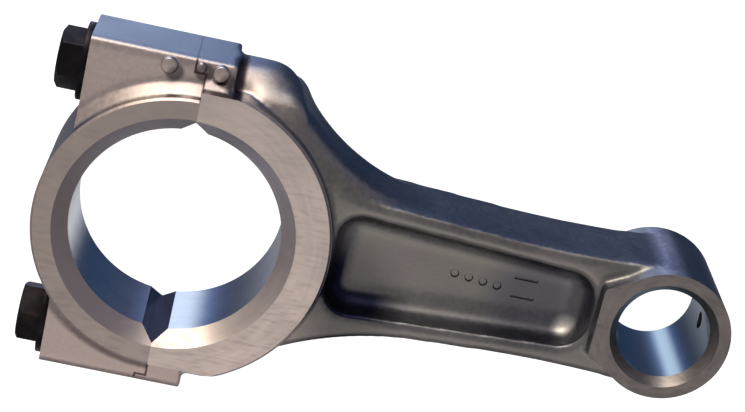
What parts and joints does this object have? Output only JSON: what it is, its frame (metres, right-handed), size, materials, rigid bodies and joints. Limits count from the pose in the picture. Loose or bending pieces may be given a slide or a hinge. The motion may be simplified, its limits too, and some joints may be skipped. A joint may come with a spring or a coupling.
{
  "type": "split-end connecting rod",
  "caption": "Die-cast aluminium connecting rod with a bolted split big end, recessed beam and plain small end, linking a crankpin to a piston pin.",
  "frame": {"origin": "centre of the crankpin bore, midway between the two thrust faces of the big end", "axes": "+X runs from the crankpin bore to the piston pin bore, +Z is the bore axis and points out of the face that carries the match pads, +Y points to the side with the larger shoulder"},
  "size_m": [0.1285, 0.0641, 0.025],
  "materials": {
    "cast_aluminium": "as cast, with machined thrust faces and bores",
    "black_oxide_steel": "black oxide"
  },
  "bodies": {
    "rod": {"rod_body": "cast_aluminium"},
    "cap": {"rod_cap": "cast_aluminium"},
    "upper_washer": {"washer_upper": "black_oxide_steel"},
    "upper_screw": {"bolt_upper": "black_oxide_steel"},
    "lower_washer": {"washer_lower": "black_oxide_steel"},
    "lower_screw": {"bolt_lower": "black_oxide_steel"}
  },
  "joints": [
    {"name": "cap_slide", "type": "slide", "parent": "rod", "child": "cap", "axis": [-1, 0, 0], "range_m": [0, 0.03]},
    {"name": "upper_washer_slide", "type": "slide", "parent": "cap", "child": "upper_washer", "axis": [-1, 0, 0], "range_m": [0, 0.008]},
    {"name": "upper_screw_turn", "type": "hinge", "parent": "upper_washer", "child": "upper_screw", "pos_m": [-0.0221, 0.0248, 0], "axis": [-1, 0, 0], "range_deg": [0, 2880]},
    {"name": "lower_washer_slide", "type": "slide", "parent": "cap", "child": "lower_washer", "axis": [-1, 0, 0], "range_m": [0, 0.008]},
    {"name": "lower_screw_turn", "type": "hinge", "parent": "lower_washer", "child": "lower_screw", "pos_m": [-0.0221, -0.0248, 0], "axis": [-1, 0, 0], "range_deg": [0, 2880]}
  ],
  "couplings": [
    {"joint": "upper_screw_turn", "follows": "upper_washer_slide", "rad_per_m": 6283.2},
    {"joint": "lower_screw_turn", "follows": "lower_washer_slide", "rad_per_m": 6283.2}
  ]
}
